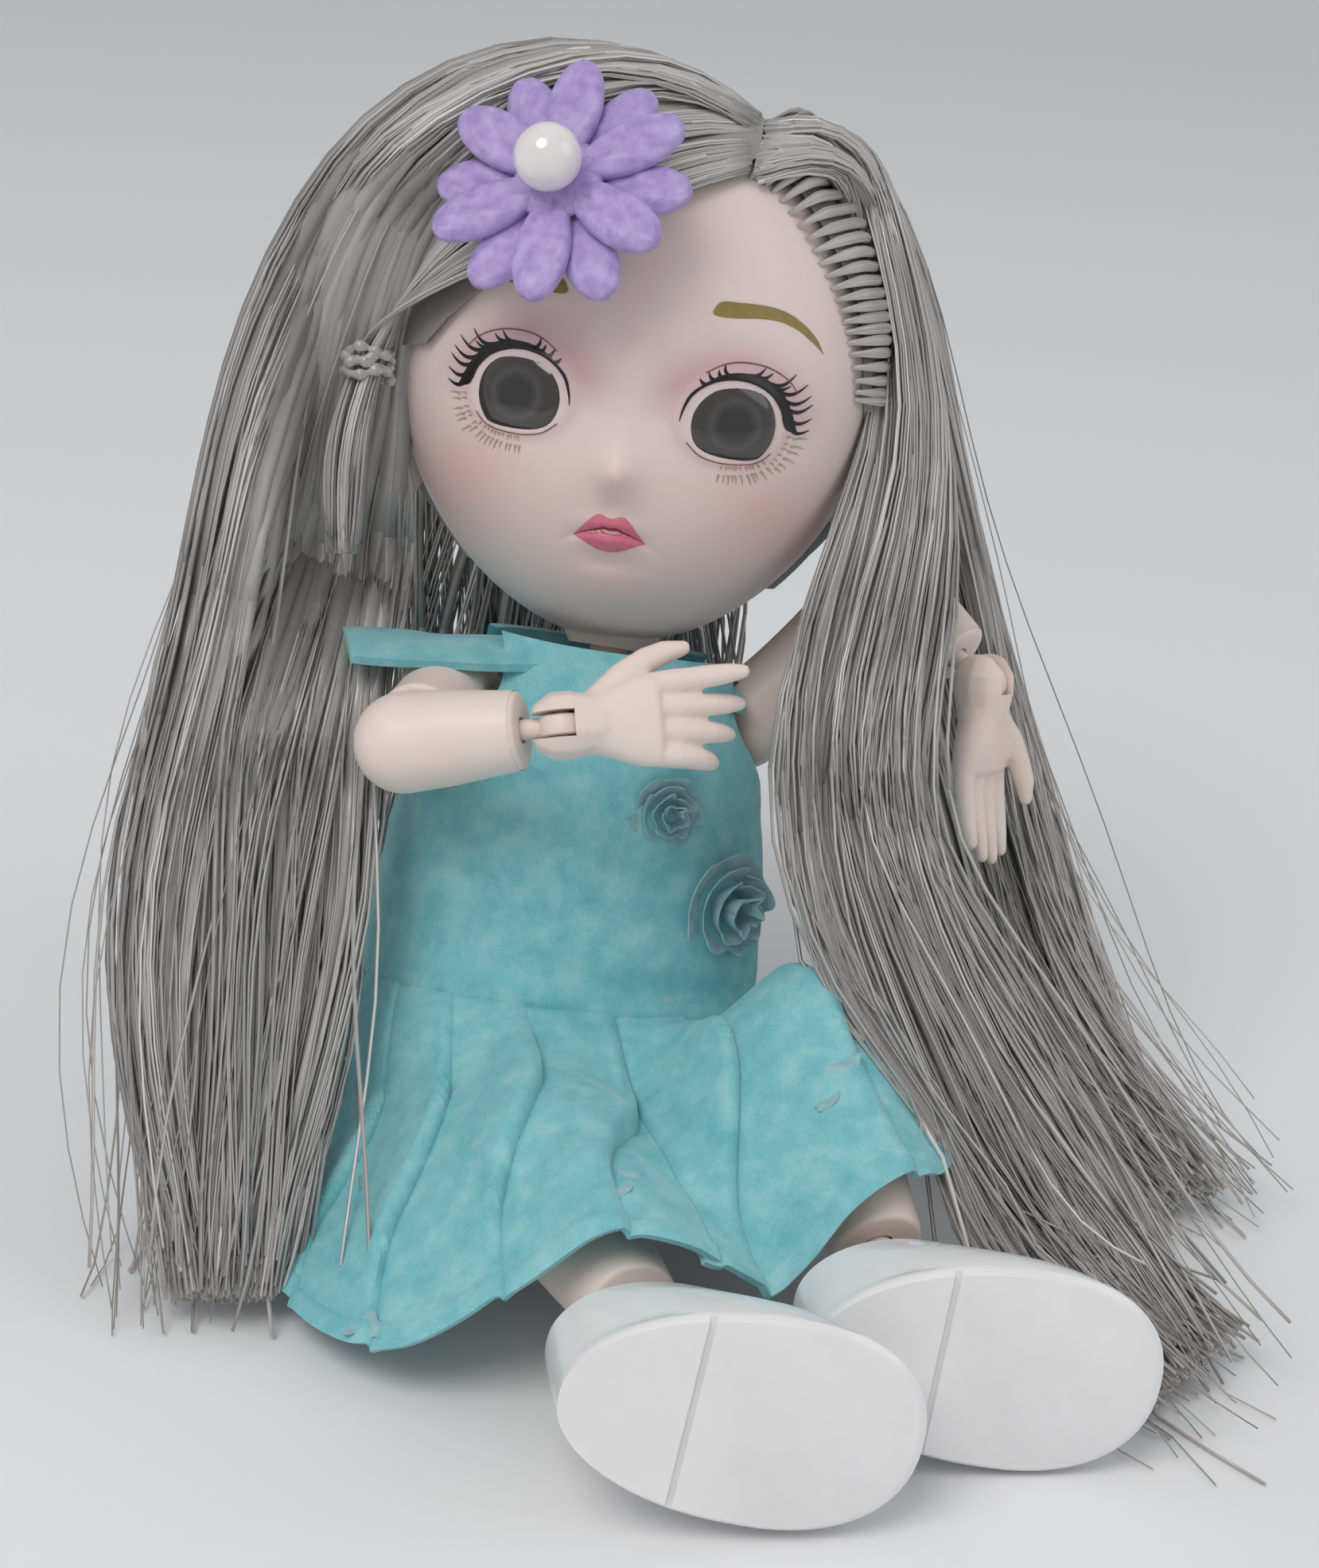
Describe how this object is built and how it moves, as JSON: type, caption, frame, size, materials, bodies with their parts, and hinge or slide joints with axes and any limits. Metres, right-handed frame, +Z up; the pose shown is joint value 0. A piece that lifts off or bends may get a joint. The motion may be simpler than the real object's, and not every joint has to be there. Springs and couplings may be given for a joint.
{
  "type": "bendable doll",
  "caption": "Small seated ball-jointed toy doll with rooted hair, a flower hair clip, a velour dress and moulded shoes; head, arms and legs turn and bend.",
  "frame": {"origin": "on the floor plane, in the flat under the body that the seated doll rests on", "axes": "+Z up, the doll faces -Y, and its left side is +X"},
  "size_m": [0.1063, 0.1128, 0.1043],
  "materials": {
    "skin": "matte pale pink vinyl",
    "eye_white": "polished white",
    "iris": "polished dark grey brown",
    "hair": "glossy warm grey nylon fibre",
    "elastic": "clear elastic",
    "velour": "aqua velour with a soft sheen",
    "chiffon": "sheer aqua chiffon, ruffled",
    "closure_tape": "hook and loop tape",
    "satin": "padded lilac satin",
    "felt": "lilac felt",
    "pearl": "pearl lustre",
    "clip_steel": "sprung steel, plated",
    "shoe": "glossy white moulded plastic"
  },
  "bodies": {
    "torso": {"torso_front": "skin", "torso_back": "skin", "dress_bodice": "velour", "skirt_right": "velour", "skirt_left": "velour", "skirt_back": "velour", "rosette_large": "chiffon", "rosette_small": "chiffon", "closure_loops": "closure_tape", "closure_hooks": "closure_tape", "hair_fall_right": "hair", "hair_fall_left_front": "hair", "hair_fall_left_back": "hair", "hair_end_left_back": "hair", "hair_fall_back": "hair"},
    "neck": {"neck_peg": "skin"},
    "head_socket": {"neck_socket": "skin"},
    "head": {"head_shell": "skin", "eye_white_right": "eye_white", "eye_white_left": "eye_white", "eye_iris_right": "iris", "eye_iris_left": "iris", "hair_swept": "hair", "hair_combed": "hair", "hair_tuft": "hair", "hair_elastic": "elastic", "clip_lower_jaw": "clip_steel"},
    "clip": {"clip_upper_jaw": "clip_steel", "clip_pad": "felt", "petals_lower": "satin", "petals_upper": "satin", "clip_pearl": "pearl"},
    "shoulder_peg_right": {"shoulder_peg_right": "skin"},
    "upper_arm_right": {"upper_arm_right": "skin"},
    "elbow_peg_right": {"elbow_peg_right": "skin"},
    "forearm_right": {"forearm_right": "skin"},
    "wrist_peg_right": {"wrist_peg_right": "skin"},
    "hand_right": {"hand_right": "skin"},
    "hip_peg_right": {"hip_peg_right": "skin"},
    "thigh_right": {"thigh_right": "skin"},
    "knee_peg_right": {"knee_peg_right": "skin"},
    "shin_right": {"shin_right": "skin"},
    "ankle_peg_right": {"ankle_peg_right": "skin"},
    "foot_right": {"foot_right": "skin", "shoe_right": "shoe"},
    "shoulder_peg_left": {"shoulder_peg_left": "skin"},
    "upper_arm_left": {"upper_arm_left": "skin"},
    "elbow_peg_left": {"elbow_peg_left": "skin"},
    "forearm_left": {"forearm_left": "skin"},
    "wrist_peg_left": {"wrist_peg_left": "skin"},
    "hand_left": {"hand_left": "skin"},
    "hip_peg_left": {"hip_peg_left": "skin"},
    "thigh_left": {"thigh_left": "skin"},
    "knee_peg_left": {"knee_peg_left": "skin"},
    "shin_left": {"shin_left": "skin"},
    "ankle_peg_left": {"ankle_peg_left": "skin"},
    "foot_left": {"foot_left": "skin", "shoe_left": "shoe"}
  },
  "joints": [
    {"name": "neck_turn", "type": "hinge", "parent": "torso", "child": "neck", "pos_m": [0.00696, 0.00914, 0.05249], "axis": [0.1564, 0.2054, 0.9661], "range_deg": [-60, 75], "deforming": ["hair_fall_right", "hair_fall_left_front", "hair_fall_left_back", "hair_fall_back"]},
    {"name": "head_nod", "type": "hinge", "parent": "neck", "child": "head_socket", "pos_m": [0.00696, 0.00914, 0.05249], "axis": [0.9415, -0.3268, -0.083], "range_deg": [-12, 22]},
    {"name": "head_tilt", "type": "hinge", "parent": "head_socket", "child": "head", "pos_m": [0.00696, 0.00914, 0.05249], "axis": [0.2832, 0.9001, -0.331], "range_deg": [-12, 4], "deforming": ["hair_tuft"]},
    {"name": "clip_open", "type": "hinge", "parent": "head", "child": "clip", "pos_m": [0.00391, -0.00452, 0.09401], "axis": [0.292, 0.5565, 0.7778], "range_deg": [0, 30], "stiffness_Nm_per_rad": 0.004, "springref_deg": -17.19},
    {"name": "shoulder_swing_right", "type": "hinge", "parent": "torso", "child": "shoulder_peg_right", "pos_m": [-0.00869, 0.00786, 0.0465], "axis": [0.9877, -0.0325, -0.153], "range_deg": [-20, 60]},
    {"name": "shoulder_spread_right", "type": "hinge", "parent": "shoulder_peg_right", "child": "upper_arm_right", "pos_m": [-0.00869, 0.00786, 0.0465], "axis": [-0.1524, 0.0199, -0.9881], "range_deg": [-30, 88]},
    {"name": "elbow_twist_right", "type": "hinge", "parent": "upper_arm_right", "child": "elbow_peg_right", "pos_m": [-0.01625, -0.00955, 0.04731], "axis": [0.3979, 0.9164, -0.0429], "range_deg": [-160, 160]},
    {"name": "elbow_bend_right", "type": "hinge", "parent": "elbow_peg_right", "child": "forearm_right", "pos_m": [-0.01625, -0.00955, 0.04731], "axis": [0.1976, -0.1312, -0.9715], "range_deg": [-7, 88]},
    {"name": "wrist_turn_right", "type": "hinge", "parent": "forearm_right", "child": "wrist_peg_right", "pos_m": [-0.00347, -0.01549, 0.05072], "axis": [-0.8815, 0.4098, -0.2346], "range_deg": [-160, 160]},
    {"name": "wrist_bend_right", "type": "hinge", "parent": "wrist_peg_right", "child": "hand_right", "pos_m": [-0.00347, -0.01549, 0.05072], "axis": [-0.0225, 0.4598, 0.8877], "range_deg": [-100, 60]},
    {"name": "hip_swing_right", "type": "hinge", "parent": "torso", "child": "hip_peg_right", "pos_m": [-0.00889, 0.00029, 0.01088], "axis": [0.9877, -0.0325, -0.153], "range_deg": [-30, 78], "deforming": ["skirt_right"]},
    {"name": "hip_spread_right", "type": "hinge", "parent": "hip_peg_right", "child": "thigh_right", "pos_m": [-0.00889, 0.00029, 0.01088], "axis": [-0.1533, -0.0062, -0.9882], "range_deg": [-1, 60]},
    {"name": "knee_turn_right", "type": "hinge", "parent": "thigh_right", "child": "knee_peg_right", "pos_m": [-0.00489, -0.0259, 0.01042], "axis": [-0.151, 0.9884, 0.0172], "range_deg": [-90, 90]},
    {"name": "knee_bend_right", "type": "hinge", "parent": "knee_peg_right", "child": "shin_right", "pos_m": [-0.00489, -0.0259, 0.01042], "axis": [0.9766, 0.1519, -0.1525], "range_deg": [0, 95]},
    {"name": "ankle_turn_right", "type": "hinge", "parent": "shin_right", "child": "ankle_peg_right", "pos_m": [-0.00126, -0.04962, 0.01001], "axis": [-0.151, 0.9884, 0.0172], "range_deg": [-120, 120]},
    {"name": "ankle_flex_right", "type": "hinge", "parent": "ankle_peg_right", "child": "foot_right", "pos_m": [-0.00126, -0.04962, 0.01001], "axis": [-0.1903, -0.0964, -0.977], "range_deg": [-5, 18]},
    {"name": "shoulder_swing_left", "type": "hinge", "parent": "torso", "child": "shoulder_peg_left", "pos_m": [0.01995, 0.00692, 0.04206], "axis": [0.9877, -0.0325, -0.153], "range_deg": [-15, 215], "deforming": ["dress_bodice"]},
    {"name": "shoulder_spread_left", "type": "hinge", "parent": "shoulder_peg_left", "child": "upper_arm_left", "pos_m": [0.01995, 0.00692, 0.04206], "axis": [-0.0191, -0.9959, 0.0886], "range_deg": [-78, 3]},
    {"name": "elbow_twist_left", "type": "hinge", "parent": "upper_arm_left", "child": "elbow_peg_left", "pos_m": [0.03313, 0.00788, 0.05571], "axis": [-0.6937, -0.0507, -0.7185], "range_deg": [-125, 78]},
    {"name": "elbow_bend_left", "type": "hinge", "parent": "elbow_peg_left", "child": "forearm_left", "pos_m": [0.03313, 0.00788, 0.05571], "axis": [-0.505, -0.6771, 0.5353], "range_deg": [-4, 91]},
    {"name": "wrist_turn_left", "type": "hinge", "parent": "forearm_left", "child": "wrist_peg_left", "pos_m": [0.0404, -0.00277, 0.04909], "axis": [-0.5014, 0.7349, 0.4566], "range_deg": [-160, 160]},
    {"name": "wrist_bend_left", "type": "hinge", "parent": "wrist_peg_left", "child": "hand_left", "pos_m": [0.0404, -0.00277, 0.04909], "axis": [-0.7471, -0.6339, 0.2], "range_deg": [-27, 130]},
    {"name": "hip_swing_left", "type": "hinge", "parent": "torso", "child": "hip_peg_left", "pos_m": [0.00889, -0.00029, 0.00812], "axis": [0.9877, -0.0325, -0.153], "range_deg": [-10, 106], "deforming": ["skirt_left"]},
    {"name": "hip_spread_left", "type": "hinge", "parent": "hip_peg_left", "child": "thigh_left", "pos_m": [0.00889, -0.00029, 0.00812], "axis": [-0.1502, -0.4701, -0.8697], "range_deg": [-28, 1], "deforming": ["skirt_back"]},
    {"name": "knee_turn_left", "type": "hinge", "parent": "thigh_left", "child": "knee_peg_left", "pos_m": [0.02006, -0.02219, 0.01803], "axis": [-0.4214, 0.8262, -0.3738], "range_deg": [-90, 5]},
    {"name": "knee_bend_left", "type": "hinge", "parent": "knee_peg_left", "child": "shin_left", "pos_m": [0.02006, -0.02219, 0.01803], "axis": [0.8568, 0.2276, -0.4628], "range_deg": [-49, 46]},
    {"name": "ankle_turn_left", "type": "hinge", "parent": "shin_left", "child": "ankle_peg_left", "pos_m": [0.02122, -0.04448, 0.00922], "axis": [-0.0485, 0.9289, 0.3671], "range_deg": [-80, 120]},
    {"name": "ankle_flex_left", "type": "hinge", "parent": "ankle_peg_left", "child": "foot_left", "pos_m": [0.02122, -0.04448, 0.00922], "axis": [-0.1379, -0.0843, -0.9869], "range_deg": [-48, 18]}
  ]
}
